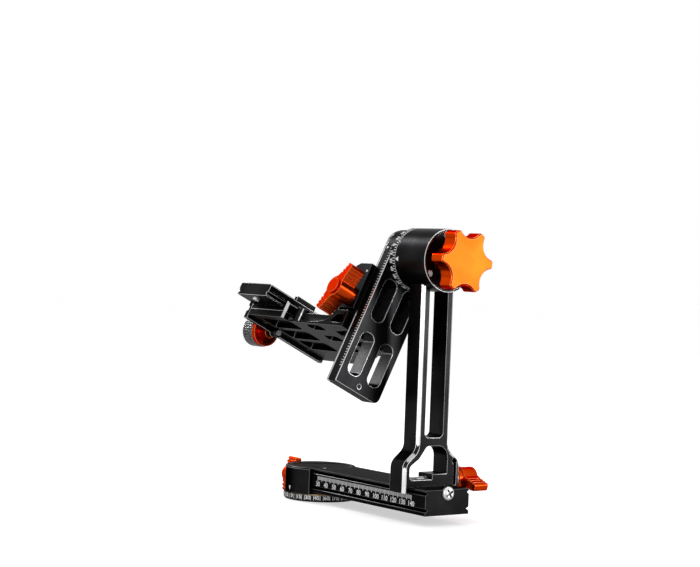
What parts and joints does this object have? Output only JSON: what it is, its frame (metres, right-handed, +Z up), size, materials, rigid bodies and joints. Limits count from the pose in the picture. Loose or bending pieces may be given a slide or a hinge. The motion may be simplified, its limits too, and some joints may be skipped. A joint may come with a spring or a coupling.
{
  "type": "gimbal tripod head",
  "caption": "Gimbal tripod head: panning base with a dovetail rail, slotted upright, tilting swing plate and an L-shaped lens bracket with a quick-release clamp and plate.",
  "frame": {"origin": "on the pan axis at the bottom mounting face, where the head stands on the tripod", "axes": "+Z up along the pan axis, +X along the base rail from the pan axis to the upright, +Y towards the upright's wing knob; the tilt axis runs along X at a height of 180 mm"},
  "size_m": [0.2064, 0.1096, 0.2018],
  "materials": {
    "black_anodised": "satin",
    "grey_scale": "satin",
    "orange_anodised": "gloss",
    "knob_black": "satin",
    "bright_steel": "satin",
    "bronze": "satin",
    "bearing_steel": "gloss",
    "rubber_pad": "matt"
  },
  "bodies": {
    "pan_base": {"pan_base": "black_anodised", "pan_thrust_washer": "bronze", "pan_retainer": "bright_steel", "pan_retainer_screws": "bright_steel"},
    "rail": {"base_rail": "black_anodised", "pan_bush": "bronze", "pan_upper_washer": "bronze", "pan_cover": "knob_black", "pan_cover_screws": "bright_steel", "pan_brake_pad": "bronze", "rail_stop_screw": "bright_steel"},
    "pan_lock": {"pan_lock_stud": "bright_steel", "pan_lock_knob": "orange_anodised"},
    "upright": {"upright_arm": "black_anodised", "tilt_bearing_rear": "bearing_steel", "tilt_bearing_front": "bearing_steel", "bearing_spacer": "bright_steel", "tilt_cap": "knob_black", "tilt_cap_screws": "bright_steel"},
    "base_clamp": {"base_clamp_stud": "bright_steel", "base_clamp_washer": "bright_steel", "base_clamp_knob": "orange_anodised"},
    "swing_arm": {"swing_plate": "black_anodised", "tilt_scale_ring": "grey_scale", "tilt_shaft": "bright_steel", "shaft_screws": "bright_steel", "swing_stop_screws": "bright_steel"},
    "tilt_lock": {"tilt_friction_washer": "bronze", "tilt_lock_stud": "bright_steel", "tilt_lock_knob": "orange_anodised"},
    "lens_bracket": {"lens_bracket": "black_anodised", "clamp_body": "black_anodised", "clamp_body_screws": "bright_steel"},
    "bracket_clamp": {"bracket_clamp_stud": "bright_steel", "bracket_clamp_washer": "bright_steel", "bracket_clamp_knob": "orange_anodised"},
    "clamp_jaw": {"clamp_jaw": "black_anodised", "jaw_guide_pins": "bright_steel"},
    "clamp_knob": {"clamp_screw": "bright_steel", "clamp_knob_collar": "orange_anodised", "clamp_knob": "knob_black"},
    "lens_plate": {"lens_plate": "black_anodised", "lens_plate_pad": "rubber_pad", "plate_stop_screw": "bright_steel", "lens_screw": "bright_steel"}
  },
  "joints": [
    {"name": "pan_turn", "type": "hinge", "parent": "pan_base", "child": "rail", "pos_m": [0, 0, 0.01], "axis": [0, 0, 1], "continuous": true},
    {"name": "pan_lock_turn", "type": "hinge", "parent": "rail", "child": "pan_lock", "pos_m": [-0.028, 0, 0.0135], "axis": [-1, 0, 0], "range_deg": [0, 540]},
    {"name": "upright_slide", "type": "slide", "parent": "rail", "child": "upright", "axis": [1, 0, 0], "range_m": [-0.098, 0.0165]},
    {"name": "base_clamp_turn", "type": "hinge", "parent": "upright", "child": "base_clamp", "pos_m": [0.1243, 0.03, 0.0282], "axis": [0, 1, 0], "range_deg": [0, 540]},
    {"name": "tilt_turn", "type": "hinge", "parent": "upright", "child": "swing_arm", "pos_m": [0.11, 0, 0.18], "axis": [1, 0, 0], "continuous": true},
    {"name": "tilt_lock_turn", "type": "hinge", "parent": "swing_arm", "child": "tilt_lock", "pos_m": [0.15, 0, 0.18], "axis": [1, 0, 0], "range_deg": [0, 360]},
    {"name": "bracket_slide", "type": "slide", "parent": "swing_arm", "child": "lens_bracket", "axis": [0, 0.4431, 0.8965], "range_m": [-0.028, 0.026]},
    {"name": "bracket_clamp_turn", "type": "hinge", "parent": "lens_bracket", "child": "bracket_clamp", "pos_m": [0.0856, -0.04573, 0.15519], "axis": [0, -0.8965, 0.4431], "range_deg": [0, 540]},
    {"name": "jaw_slide", "type": "slide", "parent": "lens_bracket", "child": "clamp_jaw", "axis": [-1, 0, 0], "range_m": [0, 0.005]},
    {"name": "clamp_knob_turn", "type": "hinge", "parent": "clamp_jaw", "child": "clamp_knob", "pos_m": [-0.038, -0.03372, 0.12193], "axis": [-1, 0, 0], "range_deg": [0, 900]},
    {"name": "plate_slide", "type": "slide", "parent": "lens_bracket", "child": "lens_plate", "axis": [0, -0.8965, 0.4431], "range_m": [-0.008, 0.04]}
  ],
  "couplings": [
    {"joint": "clamp_knob_turn", "follows": "jaw_slide", "rad_per_m": 3141.6}
  ]
}
